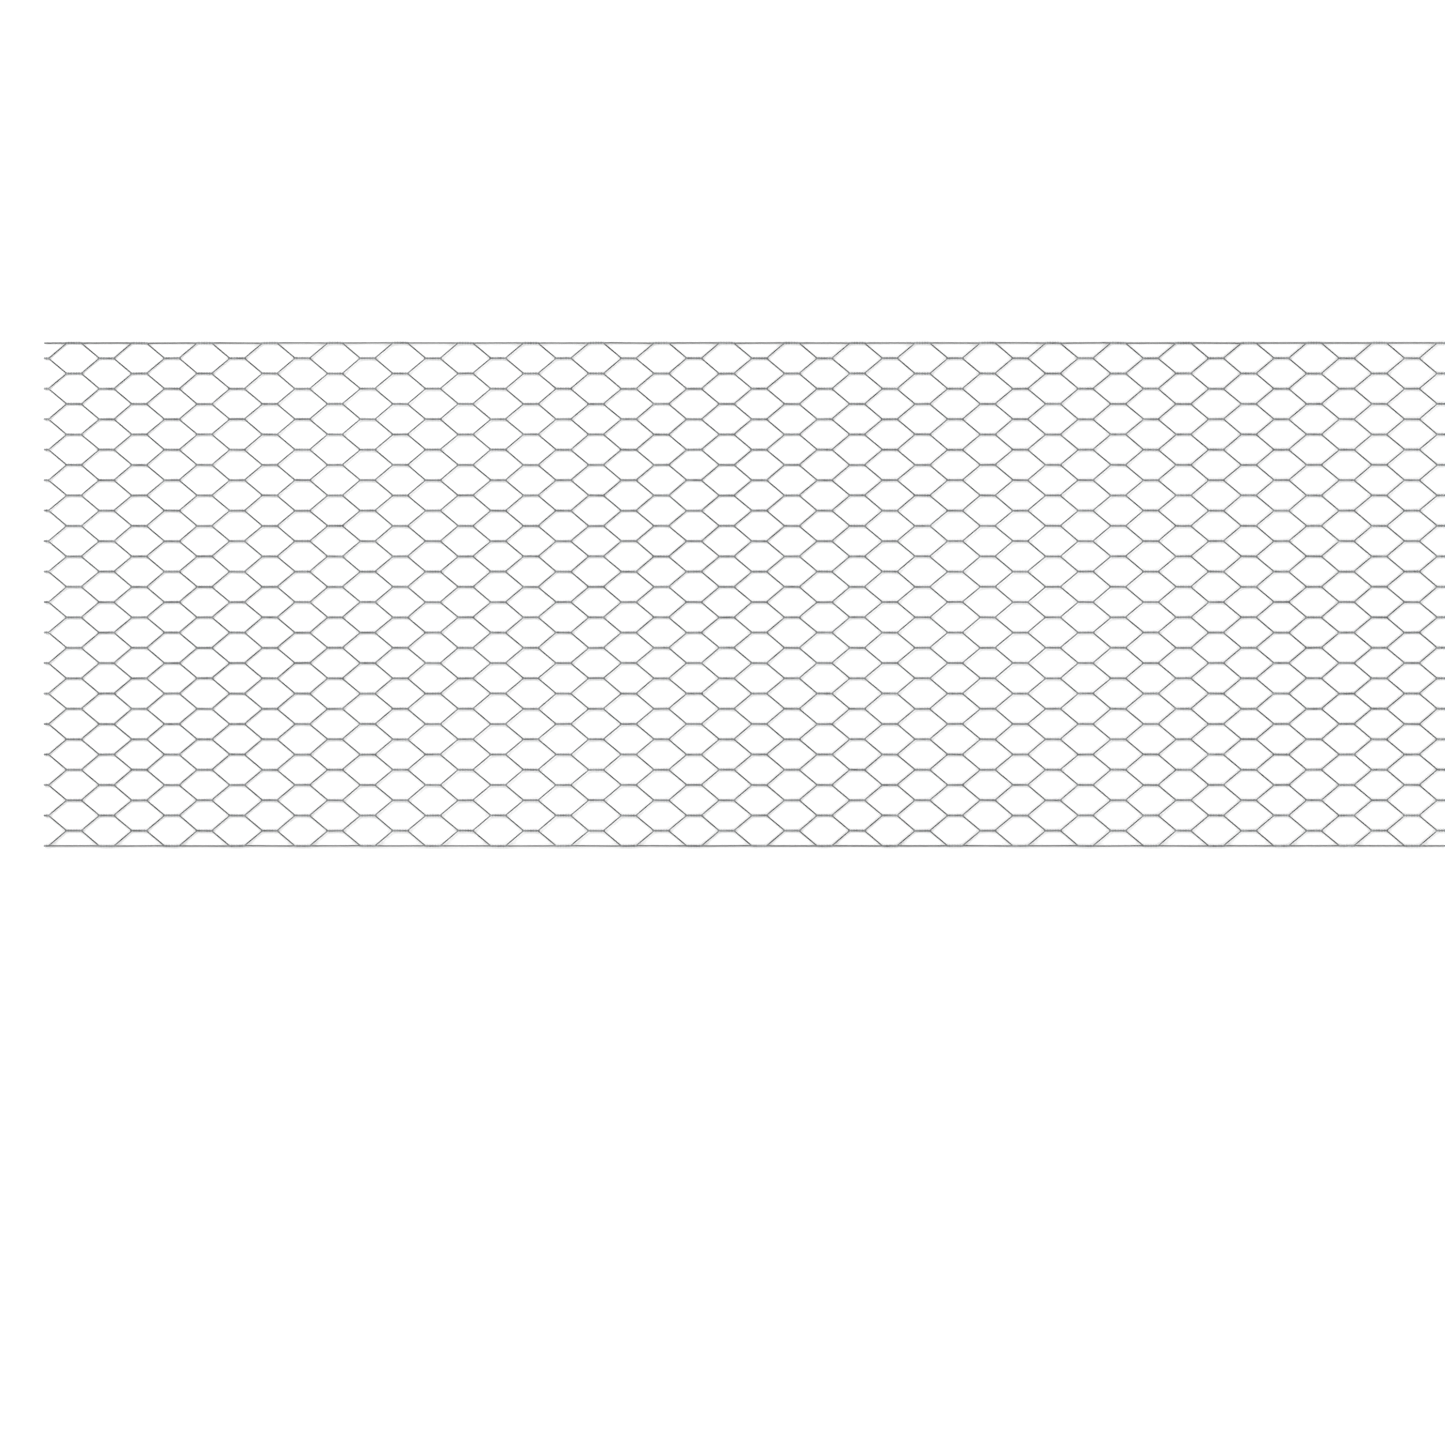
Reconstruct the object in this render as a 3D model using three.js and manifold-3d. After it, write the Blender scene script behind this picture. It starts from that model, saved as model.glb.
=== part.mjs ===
// A flat sheet of chicken wire: hexagonal netting of twisted galvanised wires between two selvedge wires.
// Millimetres, +Z up. The sheet lies flat on z = 0, its length along X, its width along Y, and the
// origin is under its middle. The twists run along the length.
import * as THREE from "three";
import { mergeGeometries, mergeVertices } from "three/addons/utils/BufferGeometryUtils.js";
import Module from "manifold-3d";

const wasm = await Module();
wasm.setup();

// Driving dimensions
const sheetLength = 2000; // a cut length from the roll
const sheetWidth = 600; // over the outside of both selvedge wires
const wireDiameter = 1.4; // every netting wire
const selvedgeDiameter = 1.4; // the straight wire along each long edge
const meshPitch = 36.2; // from one twist to the next across the sheet, which is the mesh size
const meshRepeat = 77.5; // from one twist to the next along the sheet, in the same row
const twistLength = 17.2; // the stretch over which two wires are twisted together
const endStub = 5.3; // what is left of the twists that the cut at the left end goes through
const repeatsPerBay = 5; // about how many mesh repeats one bay of the netting spans
const cutOvershoot = 1; // how far the cell cutters reach past both faces of the sheet

// Sizes that follow from them
const nettingWidth = sheetWidth - 2 * selvedgeDiameter;
const rowSteps = Math.max(2, Math.round((2 * nettingWidth) / meshPitch));
const rowStep = nettingWidth / rowSteps; // half a mesh pitch, fitted to the width
const diagonalRun = meshRepeat / 2 - twistLength; // how far a single wire runs along X between two twists
const diagonalLength = Math.hypot(diagonalRun, rowStep);
const leftEnd = -sheetLength / 2;
const rightEnd = sheetLength / 2;
const nettingTop = nettingWidth / 2;

// The left end is cut through the twists of the odd rows, and the even rows lie half a repeat further on.
const firstOddTwist = leftEnd + endStub - twistLength / 2;
const firstEvenTwist = firstOddTwist + meshRepeat / 2;

const galvanisedWire = new THREE.MeshStandardMaterial({ color: 0x6e7072, roughness: 0.5, metalness: 0.85 });

// The hole of one hexagonal cell, centred on the origin: two flats along the twists above and below it, where
// two wires lie side by side, and four slants along the single wires, which meet in a tip at each side.
function cellOutline() {
  const tipReach = (meshRepeat - twistLength) / 2 - ((wireDiameter / 2) * diagonalLength) / rowStep;
  const flatHeight = rowStep - wireDiameter;
  const flatReach = tipReach - (flatHeight * diagonalRun) / rowStep;
  return new THREE.Shape([
    new THREE.Vector2(tipReach, 0),
    new THREE.Vector2(flatReach, flatHeight),
    new THREE.Vector2(-flatReach, flatHeight),
    new THREE.Vector2(-tipReach, 0),
    new THREE.Vector2(-flatReach, -flatHeight),
    new THREE.Vector2(flatReach, -flatHeight),
  ]);
}

// The middles of all cells that reach into the stretch from one X to another. Row 0 runs along the upper
// selvedge. A cell lies over the gap between two twists of its row, so even rows follow the odd twists.
function cellCentres(from, to) {
  const centres = [];
  for (let row = 0; row <= rowSteps; row += 1) {
    const start = row % 2 === 0 ? firstOddTwist : firstEvenTwist;
    const first = Math.floor((from - start) / meshRepeat);
    const last = Math.ceil((to - start) / meshRepeat);
    for (let column = first; column <= last; column += 1) {
      centres.push({ x: start + column * meshRepeat, y: nettingTop - row * rowStep });
    }
  }
  return centres;
}

function toSolid(geometry) {
  geometry.deleteAttribute("normal");
  geometry.deleteAttribute("uv");
  const merged = mergeVertices(geometry);
  const mesh = new wasm.Mesh({
    numProp: 3,
    vertProperties: new Float32Array(merged.attributes.position.array),
    triVerts: new Uint32Array(merged.index.array),
  });
  return new wasm.Manifold(mesh);
}

function toGeometry(solid) {
  const mesh = solid.getMesh();
  const geometry = new THREE.BufferGeometry();
  geometry.setAttribute("position", new THREE.BufferAttribute(mesh.vertProperties, 3));
  geometry.setIndex(new THREE.BufferAttribute(mesh.triVerts, 1));
  geometry.computeVertexNormals();
  return geometry;
}

// One bay of the netting: a strip as deep as the wire, with its cells cut out, so that bars of one wire's
// width are left along the slants and of two wires' width along the twists.
function nettingBay(from, to) {
  const strip = new THREE.BoxGeometry(to - from, nettingWidth, wireDiameter);
  strip.translate((from + to) / 2, 0, wireDiameter / 2);
  const depth = wireDiameter + 2 * cutOvershoot;
  const cutter = new THREE.ExtrudeGeometry(cellOutline(), { depth, bevelEnabled: false });
  const cutters = cellCentres(from, to).map(({ x, y }) => cutter.clone().translate(x, y, -cutOvershoot));
  return toGeometry(toSolid(strip).subtract(toSolid(mergeGeometries(cutters))));
}

// The bays share the length about equally. They meet in the middle of the twists of the even rows that lie
// nearest to an equal share, and the first and last end at the cut ends.
function bayLimits() {
  const bayCount = Math.max(1, Math.round(sheetLength / (repeatsPerBay * meshRepeat)));
  const seams = [];
  for (let bay = 1; bay < bayCount; bay += 1) {
    const equalShare = leftEnd + (bay * sheetLength) / bayCount;
    seams.push(firstEvenTwist + Math.round((equalShare - firstEvenTwist) / meshRepeat) * meshRepeat);
  }
  return [leftEnd, ...seams, rightEnd];
}

function selvedgeWire(name, side) {
  const wire = new THREE.Mesh(
    new THREE.BoxGeometry(sheetLength, selvedgeDiameter, selvedgeDiameter),
    galvanisedWire,
  );
  wire.name = name;
  wire.position.set(0, side * (nettingTop + selvedgeDiameter / 2), selvedgeDiameter / 2);
  return wire;
}

const sheet = new THREE.Group();
const limits = bayLimits();
for (let bay = 1; bay < limits.length; bay += 1) {
  const netting = new THREE.Mesh(nettingBay(limits[bay - 1], limits[bay]), galvanisedWire);
  netting.name = `netting_bay_${bay}`;
  sheet.add(netting);
}
sheet.add(selvedgeWire("upper_selvedge_wire", 1));
sheet.add(selvedgeWire("lower_selvedge_wire", -1));

export default sheet;
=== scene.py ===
"""Chicken wire: a flat sheet of hexagonal netting, woven from round galvanised wires, on a pale floor.

Every wire is a piece of its own. The netting wires zigzag along the sheet and are twisted in pairs, once
with the neighbour above and once with the neighbour below in each mesh repeat, and a selvedge wire runs
along each long edge. Small webs of zinc fill the crotches of the twists. Everything is in metres, in the
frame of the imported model.
"""

import logging
import math
from dataclasses import dataclass
from enum import Enum

import bpy
import numpy as np
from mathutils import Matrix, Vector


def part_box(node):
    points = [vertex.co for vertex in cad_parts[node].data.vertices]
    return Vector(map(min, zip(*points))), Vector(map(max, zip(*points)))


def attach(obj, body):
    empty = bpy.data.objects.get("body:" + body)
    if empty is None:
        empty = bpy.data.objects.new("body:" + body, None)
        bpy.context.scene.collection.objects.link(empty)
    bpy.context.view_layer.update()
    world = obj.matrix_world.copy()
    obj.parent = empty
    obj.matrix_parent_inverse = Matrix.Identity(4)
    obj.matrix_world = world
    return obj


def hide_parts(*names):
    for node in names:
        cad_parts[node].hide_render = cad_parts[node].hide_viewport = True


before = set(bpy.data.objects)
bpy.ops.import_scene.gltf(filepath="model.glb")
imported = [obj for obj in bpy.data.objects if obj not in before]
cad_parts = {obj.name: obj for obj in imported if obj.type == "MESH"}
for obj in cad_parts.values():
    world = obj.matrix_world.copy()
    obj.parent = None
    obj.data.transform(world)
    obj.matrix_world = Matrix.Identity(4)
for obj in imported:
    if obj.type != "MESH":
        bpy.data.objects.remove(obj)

MM = 0.001
BODY = "root"
ZINC_POOLS_AND_GLINTS = "zinc_pools_and_glints"  # the attribute that is 1 where zinc pools on a wire, with a painted glint there too, and 0 where its coat is thin
LOG = logging.getLogger("chicken_wire")

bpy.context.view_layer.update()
BAY_NODES = sorted(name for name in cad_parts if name.startswith("netting_bay_"))
REPEATS_IN_MIDDLE_BAY = 5  # the middle bay spans that many mesh repeats, from twist to twist
HALF_MESH = 18.1 * MM  # about how far a row of twists lies from the next
TWIST_CLEARANCE = 1.1  # in wire diameters, how high the netting's middle lies, to clear the floor


class Side(Enum):
    """Which of the two places in a twist a wire starts from and comes back to."""

    UPPER = 1
    LOWER = -1


def linear_colour(srgb_hex: str) -> tuple[float, float, float, float]:
    """Turns an sRGB colour into the linear one that the shaders take.

    Args:
        srgb_hex: the colour as "#RRGGBB".

    Returns:
        Linear red, green, blue, and an alpha of 1.
    """
    channels = [int(srgb_hex[start:start + 2], 16) / 255 for start in (1, 3, 5)]
    linear = [c / 12.92 if c <= 0.04045 else ((c + 0.055) / 1.055) ** 2.4 for c in channels]
    return (*linear, 1.0)


def add_node(
    tree: bpy.types.NodeTree,
    kind: str,
    inputs: dict[str, object] | None = None,
    **settings: object,
) -> bpy.types.Node:
    """Adds a node to a material, with its settings and links.

    Args:
        tree: the material's node tree.
        kind: the node's type, such as "ShaderNodeTexNoise".
        inputs: input names, each with a value or with the output socket that is linked to it.
        settings: the node's own properties.

    Returns:
        The new node.
    """
    node = tree.nodes.new(kind)
    for name, value in settings.items():
        setattr(node, name, value)
    for name, value in (inputs or {}).items():
        if isinstance(value, bpy.types.NodeSocket):
            tree.links.new(value, node.inputs[name])
        else:
            node.inputs[name].default_value = value
    return node


def empty_material(name: str) -> tuple[bpy.types.Material, bpy.types.NodeTree]:
    """Makes a node material with nothing in it.

    Args:
        name: the material's name.

    Returns:
        The material and its node tree.
    """
    material = bpy.data.materials.new(name)
    material.use_nodes = True
    material.node_tree.nodes.clear()
    return material, material.node_tree


@dataclass(frozen=True)
class HotDipZinc:
    """Steel wire netting that was dipped in molten zinc after it was woven, and has dulled in the open air.

    The dip leaves a thin coat on the single wires, which has weathered to a dark grey, and pools in the
    grooves of the twists, where it stays lighter. The twists' lighter grey is also a painted glint: it is
    raised above the zinc's own tone to stand in for the highlights on the turns and to cancel the shade
    that the twisted wires cast on each other. Both greys drift along each wire, patches of patina dull
    them, and small grains break up their gloss.
    """

    thin_coat: str = "#343536"
    thin_coat_worn: str = "#484A4B"
    # pooled zinc in the twists, made lighter still as a painted glint on the turns
    pooled_with_glint: str = "#A0A2A3"
    pooled_worn_with_glint: str = "#8A8C8D"
    patina: str = "#303132"
    drift_length: float = 22 * MM  # how far one shade runs along the wire before it changes
    patina_size: float = 4.5 * MM  # how long a dull patch is
    patina_share: float = 0.45  # how far the darkest patch goes to the patina's own colour
    grain_size: float = 0.7 * MM  # zinc grains, drawn about twice as coarse as real so that they show
    grain_height: float = 0.05 * MM
    grain_strength: float = 0.7
    glancing: str = "#A0A0A0"  # the patina keeps the wires' edges from shining white
    roughest: float = 0.58
    smoothest: float = 0.30

    def material(self) -> bpy.types.Material:
        """Builds the zinc's node material."""
        material, tree = empty_material("hot_dip_zinc_wire")
        place = add_node(tree, "ShaderNodeTexCoord").outputs["Object"]
        drift = add_node(
            tree,
            "ShaderNodeTexNoise",
            {"Vector": place, "Scale": 1 / self.drift_length, "Detail": 2.0, "Roughness": 0.5},
        ).outputs["Fac"]
        grain = add_node(
            tree,
            "ShaderNodeTexNoise",
            {"Vector": place, "Scale": 1 / self.grain_size, "Detail": 3.0, "Roughness": 0.6},
        ).outputs["Fac"]
        shade = add_node(
            tree,
            "ShaderNodeMapRange",
            {"Value": drift, "From Min": 0.35, "From Max": 0.65, "To Min": 0.0, "To Max": 1.0},
        ).outputs["Result"]
        thin = add_node(
            tree,
            "ShaderNodeMixRGB",
            {
                "Fac": shade,
                "Color1": linear_colour(self.thin_coat),
                "Color2": linear_colour(self.thin_coat_worn),
            },
        ).outputs["Color"]
        # the twists' grey: pooled zinc together with a painted glint
        thick_with_glint = add_node(
            tree,
            "ShaderNodeMixRGB",
            {
                "Fac": shade,
                "Color1": linear_colour(self.pooled_with_glint),
                "Color2": linear_colour(self.pooled_worn_with_glint),
            },
        ).outputs["Color"]
        # 1 in the twists, where the pooled zinc and its painted glint go
        pools_and_glints = add_node(tree, "ShaderNodeAttribute", attribute_name=ZINC_POOLS_AND_GLINTS).outputs["Fac"]
        clean = add_node(
            tree,
            "ShaderNodeMixRGB",
            {"Fac": pools_and_glints, "Color1": thin, "Color2": thick_with_glint},
        ).outputs["Color"]
        patches = add_node(
            tree,
            "ShaderNodeTexNoise",
            {"Vector": place, "Scale": 1 / self.patina_size, "Detail": 4.0, "Roughness": 0.65},
        ).outputs["Fac"]
        dulled = add_node(
            tree,
            "ShaderNodeMapRange",
            {
                "Value": patches,
                "From Min": 0.48,
                "From Max": 0.68,
                "To Min": 0.0,
                "To Max": self.patina_share,
            },
        ).outputs["Result"]
        colour = add_node(
            tree,
            "ShaderNodeMixRGB",
            {"Fac": dulled, "Color1": clean, "Color2": linear_colour(self.patina)},
        ).outputs["Color"]
        roughness = add_node(
            tree,
            "ShaderNodeMapRange",
            {
                "Value": patches,
                "From Min": 0.35,
                "From Max": 0.65,
                "To Min": self.smoothest,
                "To Max": self.roughest,
            },
        ).outputs["Result"]
        relief = add_node(
            tree,
            "ShaderNodeBump",
            {"Height": grain, "Distance": self.grain_height, "Strength": self.grain_strength},
        ).outputs["Normal"]
        surface = add_node(
            tree,
            "ShaderNodeBsdfPrincipled",
            {
                "Base Color": colour,
                "Metallic": 1.0,
                "Specular Tint": linear_colour(self.glancing),
                "Roughness": roughness,
                "Normal": relief,
            },
        ).outputs["BSDF"]
        add_node(tree, "ShaderNodeOutputMaterial", {"Surface": surface})
        return material


@dataclass(frozen=True)
class ShearedSteel:
    """The bare end of a wire where shears cut it: brighter than the zinc, with fine drag marks."""

    steel: str = "#8A8784"
    mark_width: float = 0.15 * MM
    mark_depth: float = 0.02 * MM

    def material(self) -> bpy.types.Material:
        """Builds the bare steel's node material."""
        material, tree = empty_material("sheared_steel_end")
        place = add_node(tree, "ShaderNodeTexCoord").outputs["Object"]
        marks = add_node(
            tree,
            "ShaderNodeTexNoise",
            {"Vector": place, "Scale": 1 / self.mark_width, "Detail": 1.0},
        ).outputs["Fac"]
        relief = add_node(
            tree,
            "ShaderNodeBump",
            {"Height": marks, "Distance": self.mark_depth, "Strength": 0.5},
        ).outputs["Normal"]
        surface = add_node(
            tree,
            "ShaderNodeBsdfPrincipled",
            {
                "Base Color": linear_colour(self.steel),
                "Metallic": 1.0,
                "Roughness": 0.35,
                "Normal": relief,
            },
        ).outputs["BSDF"]
        add_node(tree, "ShaderNodeOutputMaterial", {"Surface": surface})
        return material


@dataclass(frozen=True)
class WireFinish:
    """The two materials that a wire takes: zinc along its length and bare steel on its cut ends."""

    along: bpy.types.Material
    ends: bpy.types.Material


@dataclass(frozen=True)
class StudioPaper:
    """Matt white studio paper, which gives the plain pale ground."""

    white: str = "#FCFCFC"

    def material(self) -> bpy.types.Material:
        """Builds the paper's node material."""
        material, tree = empty_material("studio_paper")
        surface = add_node(
            tree,
            "ShaderNodeBsdfPrincipled",
            {"Base Color": linear_colour(self.white), "Roughness": 0.9, "Specular IOR Level": 0.0},
        ).outputs["BSDF"]
        add_node(tree, "ShaderNodeOutputMaterial", {"Surface": surface})
        return material


@dataclass(frozen=True)
class Wave:
    """One sine wave over the sheet, in radians for each metre along X and Y."""

    along_x: float
    along_y: float
    start: float = 0.0

    def at(self, x: np.ndarray, y: np.ndarray) -> np.ndarray:
        """Gives the wave's height, from -1 to 1.

        Args:
            x: X of each point.
            y: Y of each point.

        Returns:
            The height at each point.
        """
        return np.sin(self.along_x * x + self.along_y * y + self.start)


@dataclass(frozen=True)
class Ripple:
    """The slight unevenness of netting that was cut from a roll and pulled flat again."""

    stray: float = 0.15 * MM  # how far the twists stray from a perfect grid
    lift: float = 1.6 * MM  # how far the sheet's waves rise off the floor
    stray_in_x: tuple[Wave, Wave] = (Wave(61, 37), Wave(113, -71, 1.3))
    stray_in_y: tuple[Wave, Wave] = (Wave(53, -47, 2.1), Wave(97, 89, 0.4))
    rise: tuple[Wave, Wave] = (Wave(9.1, 2.3), Wave(4.7, -11.9, 0.8))

    def move(self, points: np.ndarray) -> np.ndarray:
        """Moves points of the perfect grid to where the uneven sheet has them.

        Args:
            points: one row of X, Y and Z for each point.

        Returns:
            The moved points, in an array of the same shape.
        """
        x, y = points[:, 0], points[:, 1]
        moved = points.copy()
        moved[:, 0] += self.stray / 2 * sum(wave.at(x, y) for wave in self.stray_in_x)
        moved[:, 1] += self.stray / 2 * sum(wave.at(x, y) for wave in self.stray_in_y)
        moved[:, 2] += self.lift * (sum(wave.at(x, y) for wave in self.rise) + 2) / 4
        return moved


@dataclass(frozen=True)
class RoundWire:
    """A drawn round wire, swept along the line that its middle follows."""

    diameter: float
    sides: int = 8
    sharpest_smooth: float = 60.0  # degrees; only the rims of the cut ends are sharper

    def sweep(
        self,
        name: str,
        line: np.ndarray,
        pooled_with_glint: np.ndarray,
        finish: WireFinish,
    ) -> bpy.types.Object:
        """Makes a closed wire along a line.

        Args:
            name: the piece's name.
            line: the points of the wire's middle, from one cut end to the other.
            pooled_with_glint: for each point, 1 where zinc pools and the painted glint lies, and 0 where the
                coat is thin.
            finish: the wire's materials.

        Returns:
            The wire's object.
        """
        ahead = np.gradient(line, axis=0)
        ahead /= np.linalg.norm(ahead, axis=1)[:, None]
        beside = np.cross((0.0, 0.0, 1.0), ahead)
        beside /= np.linalg.norm(beside, axis=1)[:, None]
        above = np.cross(ahead, beside)
        turn = 2 * math.pi * np.arange(self.sides) / self.sides
        sideways = np.cos(turn)[None, :, None] * beside[:, None, :]
        upwards = np.sin(turn)[None, :, None] * above[:, None, :]
        ring = sideways + upwards
        corners = (line[:, None, :] + self.diameter / 2 * ring).reshape(-1, 3)

        ring_starts = np.arange(len(line) - 1)[:, None] * self.sides
        side = np.arange(self.sides)[None, :]
        here = ring_starts + side
        beyond = ring_starts + (side + 1) % self.sides
        walls = np.stack([here, beyond, beyond + self.sides, here + self.sides], axis=-1).reshape(-1, 4)
        first_end = list(range(self.sides))[::-1]
        last_end = list(range(len(corners) - self.sides, len(corners)))
        mesh = bpy.data.meshes.new(name)
        mesh.from_pydata(corners.tolist(), [], walls.tolist() + [first_end, last_end])
        mesh.shade_smooth()
        mesh.set_sharp_from_angle(angle=math.radians(self.sharpest_smooth))
        mesh.materials.append(finish.along)
        mesh.materials.append(finish.ends)
        for end in mesh.polygons[-2:]:
            end.material_index = 1
        # marks the twists, where the lighter grey of pooled zinc and its painted glint goes
        pools_and_glints = mesh.attributes.new(ZINC_POOLS_AND_GLINTS, "FLOAT", "POINT")
        pools_and_glints.data.foreach_set("value", np.repeat(pooled_with_glint, self.sides))
        wire = bpy.data.objects.new(name, mesh)
        bpy.context.scene.collection.objects.link(wire)
        return wire


@dataclass(frozen=True)
class ZincFillets:
    """The small webs of zinc that fill the crotch where two wires leave their twist."""

    start: float = -0.6 * MM  # where a web begins, from the end of the turns
    middle: float = 0.5 * MM
    end: float = 1.2 * MM  # how far out the web reaches between the wires
    start_width: float = 0.6 * MM
    wire_overlap: float = 0.5 * MM  # how far each side of the web goes into its wire
    start_depth: float = 1.1 * MM
    middle_depth: float = 0.9 * MM
    end_depth: float = 0.35 * MM

    def build(
        self,
        name: str,
        crotches: np.ndarray,
        slant: float,
        ripple: Ripple,
        finish: WireFinish,
    ) -> bpy.types.Object:
        """Makes all the webs as one joined mesh.

        Args:
            name: the piece's name.
            crotches: one row for each web, with the X, Y and Z of the end of its turns, and 1 or -1 for
                the way along X in which its wires leave.
            slant: how far a wire runs across the sheet for each metre along it.
            ripple: the sheet's unevenness.
            finish: the wires' materials.

        Returns:
            The webs' object.
        """
        outward = np.array([self.start, self.middle, self.end])
        half_width = self.wire_overlap + slant * outward / 2
        half_width[0] = self.start_width / 2
        half_depth = np.array([self.start_depth, self.middle_depth, self.end_depth]) / 2
        corners_in_ring = 4
        across = half_width[:, None] * np.array([1.0, 0.0, -1.0, 0.0])
        upwards = half_depth[:, None] * np.array([0.0, 1.0, 0.0, -1.0])
        along = np.repeat(outward[:, None], corners_in_ring, axis=1)
        way = crotches[:, 3, None]
        corners = np.stack(
            [
                crotches[:, 0, None] + way * along.ravel(),
                crotches[:, 1, None] + way * across.ravel(),
                crotches[:, 2, None] + upwards.ravel(),
            ],
            axis=-1,
        ).reshape(-1, 3)
        side = np.arange(corners_in_ring)
        beside = (side + 1) % corners_in_ring
        wall = np.stack([side, beside, beside + corners_in_ring, side + corners_in_ring], axis=-1)
        last_ring = side + (len(outward) - 1) * corners_in_ring
        web = np.concatenate([wall, wall + corners_in_ring, [side[::-1]], [last_ring]])
        first_corners = along.size * np.arange(len(crotches))
        faces = (web[None, :, :] + first_corners[:, None, None]).reshape(-1, corners_in_ring)
        mesh = bpy.data.meshes.new(name)
        mesh.from_pydata(ripple.move(corners).tolist(), [], faces.tolist())
        mesh.shade_smooth()
        mesh.materials.append(finish.along)
        # the webs are all pooled zinc, so they take its lighter grey, painted glint included
        pools_and_glints = mesh.attributes.new(ZINC_POOLS_AND_GLINTS, "FLOAT", "POINT")
        pools_and_glints.data.foreach_set("value", np.ones(len(corners)))
        webs = bpy.data.objects.new(name, mesh)
        bpy.context.scene.collection.objects.link(webs)
        return webs


@dataclass(frozen=True)
class Weave:
    """The pattern of the mesh: where its twists lie and how a wire runs through them."""

    repeat: float  # along the sheet, from one twist to the next in the same row
    row_step: float  # across the sheet, from a row of twists to the next
    even_twist: float  # X of the middle of a twist in the even rows
    wire: float  # the wires' diameter
    left: float  # X of the left cut end
    right: float  # X of the right cut end
    middle_height: float  # Z of the middle of the sheet
    twist_length: float = 17.2 * MM
    turns: int = 3
    fullness: float = 1.05  # widens the turns by what the rounding of the bends takes off them
    bend_rounding: float = 0.45 * MM
    steps_in_twist: int = 22
    steps_in_repeat: int = 1600  # how finely a wire's line is worked out before its bends are rounded
    first_bend_ring: float = 0.9 * MM  # places of the rings of corners that follow a bend, from the turns
    second_bend_ring: float = 1.9 * MM
    zinc_and_glint_fade: float = 6.5 * MM  # how far from the turns the pooled zinc, and the painted glint on it, has thinned out
    # how much of the pooled zinc and its painted glint is left at the second ring
    zinc_and_glint_at_second_ring: float = 0.4
    end_clearance: float = 0.2 * MM  # no ring of corners comes nearer to a cut end

    @property
    def turn_radius(self) -> float:
        """How far the middle of each wire lies from the middle of its twist."""
        return self.wire / 2 * self.fullness

    @property
    def reach(self) -> float:
        """How far the turns reach to each side of the middle of a twist."""
        slant = (self.repeat / 2 - self.twist_length) / self.row_step
        return self.twist_length / 2 + self.wire / 2 * slant

    def turned(self, x: np.ndarray, side: Side) -> tuple[np.ndarray, np.ndarray]:
        """Gives one wire's place in a twist.

        Args:
            x: distances from the middle of the twist.
            side: the side that the wire comes from.

        Returns:
            The offsets across the sheet and upwards from the middle of the twist.
        """
        angle = 2 * math.pi * self.turns * (x + self.reach) / (2 * self.reach)
        across = side.value * self.turn_radius * np.cos(angle)
        upwards = -side.value * self.turn_radius * np.sin(angle)
        return across, upwards

    def rounded(self, offsets: np.ndarray, spacing: float) -> np.ndarray:
        """Rounds the bends of a line that repeats, as the wire's stiffness does.

        Args:
            offsets: the line's offsets over one repeat, evenly spaced.
            spacing: the distance between two of them.

        Returns:
            The rounded offsets.
        """
        waves = np.fft.rfftfreq(len(offsets), spacing)
        kept = np.exp(-2 * (math.pi * waves * self.bend_rounding) ** 2)
        return np.fft.irfft(np.fft.rfft(offsets) * kept, len(offsets))

    def sample_places(self, first_twist: float, spacing: float) -> np.ndarray:
        """Picks the X values where a wire gets a ring of corners: many in its twists and few between them.

        Args:
            first_twist: X of the middle of one of the wire's twists.
            spacing: the distance from each of its twists to the next.

        Returns:
            Rising X values from one cut end to the other.
        """
        turns = np.linspace(-self.reach, self.reach, self.steps_in_twist + 1)
        bends = self.reach + np.array([self.first_bend_ring, self.second_bend_ring, self.zinc_and_glint_fade])
        around = np.concatenate([-bends[::-1], turns, bends])
        numbers = np.arange(
            math.floor((self.left - first_twist) / spacing) - 1,
            math.ceil((self.right - first_twist) / spacing) + 2,
        )
        places = (first_twist + numbers[:, None] * spacing + around[None, :]).ravel()
        past_left = places > self.left + self.end_clearance
        before_right = places < self.right - self.end_clearance
        inside = places[past_left & before_right]
        return np.concatenate([[self.left], inside, [self.right]])

    def pools_and_glints(self, places: np.ndarray, first_twist: float, spacing: float) -> np.ndarray:
        """Tells where on a wire the zinc pools and the painted glint lies, which is in its twists.

        Args:
            places: X values along the wire.
            first_twist: X of the middle of one of the wire's twists.
            spacing: the distance from each of its twists to the next.

        Returns:
            For each place, 1 in a twist, falling to 0 between them.
        """
        from_twist = np.abs(np.mod(places - first_twist + spacing / 2, spacing) - spacing / 2)
        fade_places = self.reach + np.array([0.0, self.second_bend_ring, self.zinc_and_glint_fade])
        return np.interp(from_twist, fade_places, [1.0, self.zinc_and_glint_at_second_ring, 0.0])

    def follow(
        self,
        across: np.ndarray,
        upwards: np.ndarray,
        start: float,
        places: np.ndarray,
    ) -> np.ndarray:
        """Lays a line that repeats along the whole sheet.

        Args:
            across: offsets in Y over one repeat, evenly spaced.
            upwards: offsets in Z over the same stretch.
            start: X where the repeat starts.
            places: the X values of the points wanted.

        Returns:
            One row of X, Y and Z for each of them, with Y from zero.
        """
        spacing = self.repeat / len(across)
        grid = start + spacing * np.arange(len(across))
        y = np.interp(places, grid, self.rounded(across, spacing), period=self.repeat)
        z = np.interp(places, grid, self.rounded(upwards, spacing), period=self.repeat)
        return np.column_stack([places, y, self.middle_height + z])

    def twist_middles(self, row: int) -> np.ndarray:
        """Gives the X values of the middles of a row's twists that lie between the cut ends.

        Args:
            row: the row's number, from 0 along the upper selvedge.

        Returns:
            The X values, rising.
        """
        start = self.even_twist if row % 2 == 0 else self.even_twist + self.repeat / 2
        first = math.ceil((self.left - start) / self.repeat)
        last = math.floor((self.right - start) / self.repeat)
        return start + self.repeat * np.arange(first, last + 1)

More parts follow.
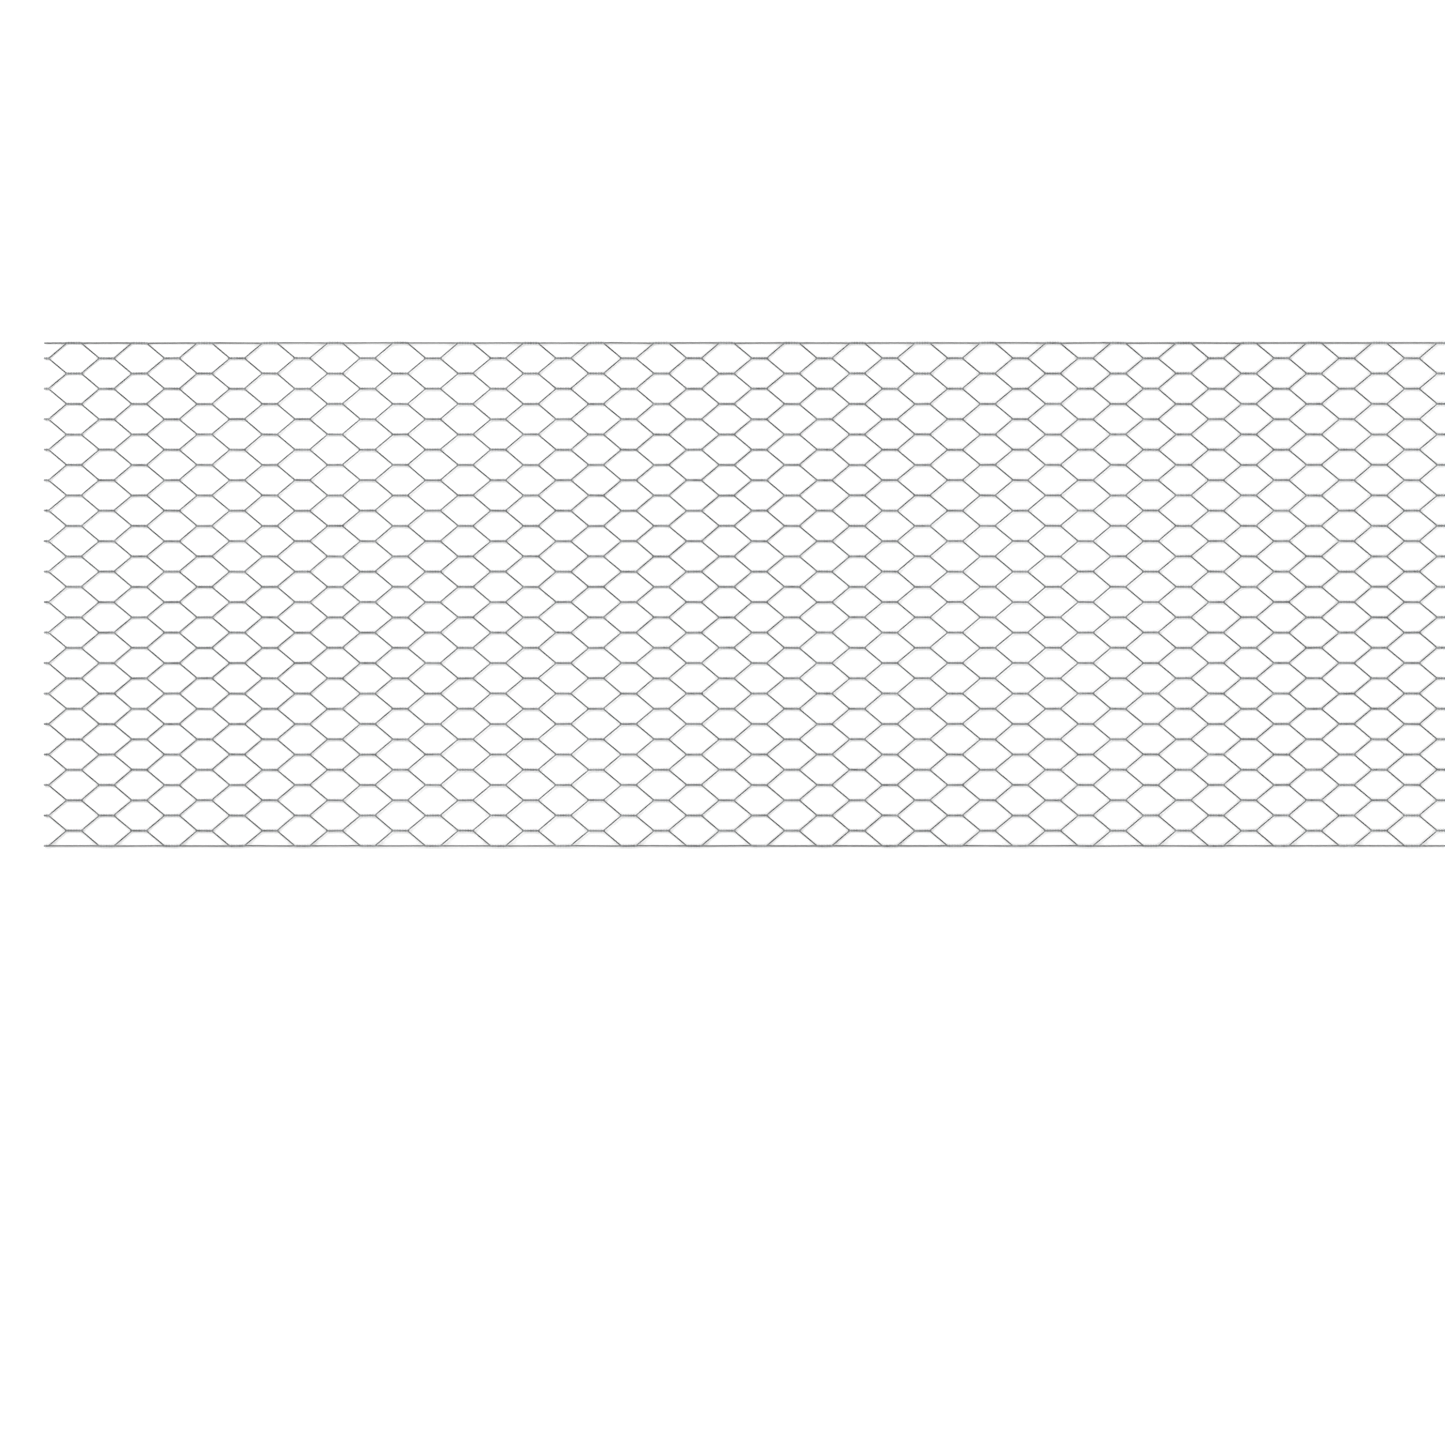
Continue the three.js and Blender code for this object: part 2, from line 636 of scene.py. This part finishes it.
    def netting_line(self, lane: int) -> tuple[np.ndarray, np.ndarray]:
        """Gives the middle line of a netting wire, with Y from the middle of its lane.

        Args:
            lane: the wire's number, from 0 beside the upper selvedge.

        Returns:
            The line's points from the left cut end to the right one, and where zinc pools and the painted glint
            lies on them.
        """
        upper_twist = self.even_twist if lane % 2 == 0 else self.even_twist + self.repeat / 2
        from_upper = np.linspace(-self.repeat / 2, self.repeat / 2, self.steps_in_repeat, endpoint=False)
        from_lower = np.mod(from_upper, self.repeat) - self.repeat / 2
        upper_across, upper_up = self.turned(from_upper, Side.LOWER)
        lower_across, lower_up = self.turned(from_lower, Side.UPPER)
        half = self.row_step / 2
        bend_half = half - self.turn_radius
        bends = [self.reach, self.repeat / 2 - self.reach]
        slope = np.interp(np.abs(from_upper), bends, [bend_half, -bend_half])
        in_upper = np.abs(from_upper) <= self.reach
        in_lower = np.abs(from_lower) <= self.reach
        across = np.select([in_upper, in_lower], [half + upper_across, -half + lower_across], slope)
        upwards = np.select([in_upper, in_lower], [upper_up, lower_up], 0.0)
        places = self.sample_places(upper_twist, self.repeat / 2)
        line = self.follow(across, upwards, upper_twist - self.repeat / 2, places)
        return line, self.pools_and_glints(places, upper_twist, self.repeat / 2)

    def selvedge_line(self, side: Side, row: int) -> tuple[np.ndarray, np.ndarray]:
        """Gives the middle line of a selvedge wire, with Y from the middle of its twists.

        Args:
            side: the long edge that the wire is on.
            row: the number of the row of twists that lies along it.

        Returns:
            The line's points from the left cut end to the right one, and where zinc pools and the painted glint
            lies on them.
        """
        twist = self.even_twist if row % 2 == 0 else self.even_twist + self.repeat / 2
        from_twist = np.linspace(-self.repeat / 2, self.repeat / 2, self.steps_in_repeat, endpoint=False)
        turned_across, turned_up = self.turned(from_twist, side)
        in_twist = np.abs(from_twist) <= self.reach
        across = np.where(in_twist, turned_across, 0.0)
        upwards = np.where(in_twist, turned_up, 0.0)
        places = self.sample_places(twist, self.repeat)
        line = self.follow(across, upwards, twist - self.repeat / 2, places)
        return line, self.pools_and_glints(places, twist, self.repeat)


@dataclass(frozen=True)
class ChickenWire:
    """The whole sheet: its netting wires and its two selvedge wires."""

    weave: Weave
    ripple: Ripple
    top: float  # Y of the row of twists along the upper selvedge
    rows: int  # how many steps there are from the upper selvedge to the lower
    web_clearance: float = 2 * MM  # a cut end that is nearer to a crotch leaves no room for its web

    def build_netting(self, finish: WireFinish) -> None:
        """Builds the netting wires, which together stand for the bays.

        Args:
            finish: the wires' materials.
        """
        wire = RoundWire(self.weave.wire)
        for lane in range(self.rows):
            line, pooled_with_glint = self.weave.netting_line(lane)
            line[:, 1] += self.top - (lane + 0.5) * self.weave.row_step
            piece = wire.sweep(f"netting_wire_{lane + 1:02d}", self.ripple.move(line), pooled_with_glint, finish)
            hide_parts(*BAY_NODES)
            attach(piece, BODY)
        LOG.info("%d netting wires", self.rows)

    def build_selvedge(self, name: str, side: Side, row: int, finish: WireFinish) -> None:
        """Builds the wire along one long edge.

        Args:
            name: the name of the solid that it stands for.
            side: the edge that it is on.
            row: the number of the row of twists along it.
            finish: the wire's materials.
        """
        line, pooled_with_glint = self.weave.selvedge_line(side, row)
        line[:, 1] += self.top - row * self.weave.row_step
        piece = RoundWire(self.weave.wire).sweep(f"{name}_round", self.ripple.move(line), pooled_with_glint, finish)
        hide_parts(name)
        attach(piece, BODY)
        LOG.info("%s", name)

    def build_fillets(self, finish: WireFinish) -> None:
        """Builds the zinc webs at both ends of every twist between the selvedges.

        Args:
            finish: the wires' materials.
        """
        weave = self.weave
        crotches = []
        for row in range(1, self.rows):
            y = self.top - row * weave.row_step
            for middle in weave.twist_middles(row):
                for way in (-1, 1):
                    x = middle + way * weave.reach
                    if weave.left + self.web_clearance < x < weave.right - self.web_clearance:
                        crotches.append((x, y, weave.middle_height, way))
        slant = weave.row_step / (weave.repeat / 2 - weave.twist_length)
        piece = ZincFillets().build("zinc_fillets", np.array(crotches), slant, self.ripple, finish)
        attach(piece, BODY)
        LOG.info("%d zinc fillets", len(crotches))

    def build(self, finish: WireFinish) -> None:
        """Builds every wire of the sheet.

        Args:
            finish: the wires' materials.
        """
        self.build_netting(finish)
        self.build_selvedge("upper_selvedge_wire", Side.UPPER, 0, finish)
        self.build_selvedge("lower_selvedge_wire", Side.LOWER, self.rows, finish)
        self.build_fillets(finish)


@dataclass(frozen=True)
class PhotoFraming:
    """Where the sheet lies in the photograph, in pixels from its top left, for the camera to frame it alike."""

    image: float = 1445.0
    left_end: float = 44.1
    upper_row: float = 343.0
    lower_row: float = 845.9
    lens: float = 200.0
    sensor: float = 36.0
    farthest_seen: float = 100.0

    def camera(self, sheet: ChickenWire) -> bpy.types.Object:
        """Makes the camera, which looks straight down on the sheet from far off.

        Args:
            sheet: the chicken wire.

        Returns:
            The camera's object.
        """
        scale = sheet.rows * sheet.weave.row_step / (self.lower_row - self.upper_row)
        data = bpy.data.cameras.new("camera")
        data.lens = self.lens
        data.sensor_width = self.sensor
        data.clip_end = self.farthest_seen
        camera = bpy.data.objects.new("camera", data)
        camera.location = (
            sheet.weave.left + (self.image / 2 - self.left_end) * scale,
            sheet.top - (self.image / 2 - self.upper_row) * scale,
            sheet.weave.middle_height + self.image * scale * self.lens / self.sensor,
        )
        bpy.context.scene.collection.objects.link(camera)
        return camera


@dataclass(frozen=True)
class Softbox:
    """A square lamp with an even, soft face."""

    name: str
    place: tuple[float, float, float]
    size: float
    power: float  # watts

    def hang(self) -> None:
        """Hangs the lamp so that it points at the middle of the sheet."""
        data = bpy.data.lights.new(self.name, "AREA")
        data.size = self.size
        data.energy = self.power
        light = bpy.data.objects.new(self.name, data)
        light.location = self.place
        x, y, z = self.place
        light.rotation_euler = (math.atan2(math.hypot(x, y), z), 0, math.atan2(x, -y))
        bpy.context.scene.collection.objects.link(light)


@dataclass(frozen=True)
class Studio:
    """A pale floor under soft, even light."""

    rest_height: float  # Z of the sheet's underside
    floor_size: float = 60.0
    floor_drop: float = 0.1 * MM
    overhead: float = 0.50  # brightness straight above
    shoulder: float = 1.10  # brightness half way down, where the studio's white walls are
    horizon: float = 1.02
    shoulder_height: float = 0.45
    key: Softbox = Softbox("key_softbox", (-2.6, 2.2, 3.4), 2.4, 90.0)
    fill: Softbox = Softbox("fill_softbox", (3.0, -1.6, 3.0), 3.0, 50.0)

    def floor(self, paper: bpy.types.Material) -> bpy.types.Object:
        """Lays the floor.

        Args:
            paper: its material.

        Returns:
            The floor's object.
        """
        half = self.floor_size / 2
        mesh = bpy.data.meshes.new("floor")
        corners = [(-half, -half, 0), (half, -half, 0), (half, half, 0), (-half, half, 0)]
        mesh.from_pydata(corners, [], [(0, 1, 2, 3)])
        mesh.materials.append(paper)
        floor = bpy.data.objects.new("floor", mesh)
        floor.location = (0, 0, self.rest_height - self.floor_drop)
        bpy.context.scene.collection.objects.link(floor)
        return floor

    def surround(self) -> None:
        """Makes the soft white light that comes from all around, dimmer overhead than from the walls."""
        world = bpy.data.worlds.new("soft_surround")
        world.use_nodes = True
        tree = world.node_tree
        direction = add_node(tree, "ShaderNodeTexCoord").outputs["Generated"]
        height = add_node(tree, "ShaderNodeSeparateXYZ", {"Vector": direction}).outputs["Z"]
        ramp = add_node(tree, "ShaderNodeValToRGB", {"Fac": height})
        stops = ramp.color_ramp.elements
        stops[0].position, stops[0].color = 0.0, (self.horizon, self.horizon, self.horizon, 1.0)
        stops[1].position, stops[1].color = 1.0, (self.overhead, self.overhead, self.overhead, 1.0)
        shoulder = stops.new(self.shoulder_height)
        shoulder.color = (self.shoulder, self.shoulder, self.shoulder, 1.0)
        tree.links.new(ramp.outputs["Color"], tree.nodes["Background"].inputs["Color"])
        bpy.context.scene.world = world

    def build(self, paper: bpy.types.Material) -> None:
        """Sets up the floor and the lights.

        Args:
            paper: the floor's material.
        """
        self.floor(paper)
        self.surround()
        self.key.hang()
        self.fill.hang()
        bpy.context.scene.view_settings.view_transform = "Standard"
        bpy.context.scene.view_settings.exposure = 0.0
        LOG.info("studio")


def sheet_from_frame() -> ChickenWire:
    """Works the sheet's sizes out from the solids of the frame.

    Returns:
        The chicken wire, ready to be built.
    """
    middle_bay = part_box(BAY_NODES[len(BAY_NODES) // 2])
    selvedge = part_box("upper_selvedge_wire")
    wire = selvedge[1][1] - selvedge[0][1]
    repeat = (middle_bay[1][0] - middle_bay[0][0]) / REPEATS_IN_MIDDLE_BAY
    top = selvedge[0][1]
    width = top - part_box("lower_selvedge_wire")[1][1]
    rows = round(width / HALF_MESH)
    weave = Weave(
        repeat=repeat,
        row_step=width / rows,
        even_twist=middle_bay[0][0],
        wire=wire,
        left=selvedge[0][0],
        right=selvedge[1][0],
        middle_height=selvedge[0][2] + wire * TWIST_CLEARANCE,
    )
    return ChickenWire(weave=weave, ripple=Ripple(), top=top, rows=rows)


def main() -> None:
    """Builds the sheet, the studio and the camera."""
    logging.basicConfig(level=logging.INFO, format="%(name)s: %(message)s")
    sheet = sheet_from_frame()
    sheet.build(WireFinish(along=HotDipZinc().material(), ends=ShearedSteel().material()))
    Studio(rest_height=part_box("upper_selvedge_wire")[0][2]).build(StudioPaper().material())
    bpy.context.scene.camera = PhotoFraming().camera(sheet)


if __name__ == "__main__":
    main()
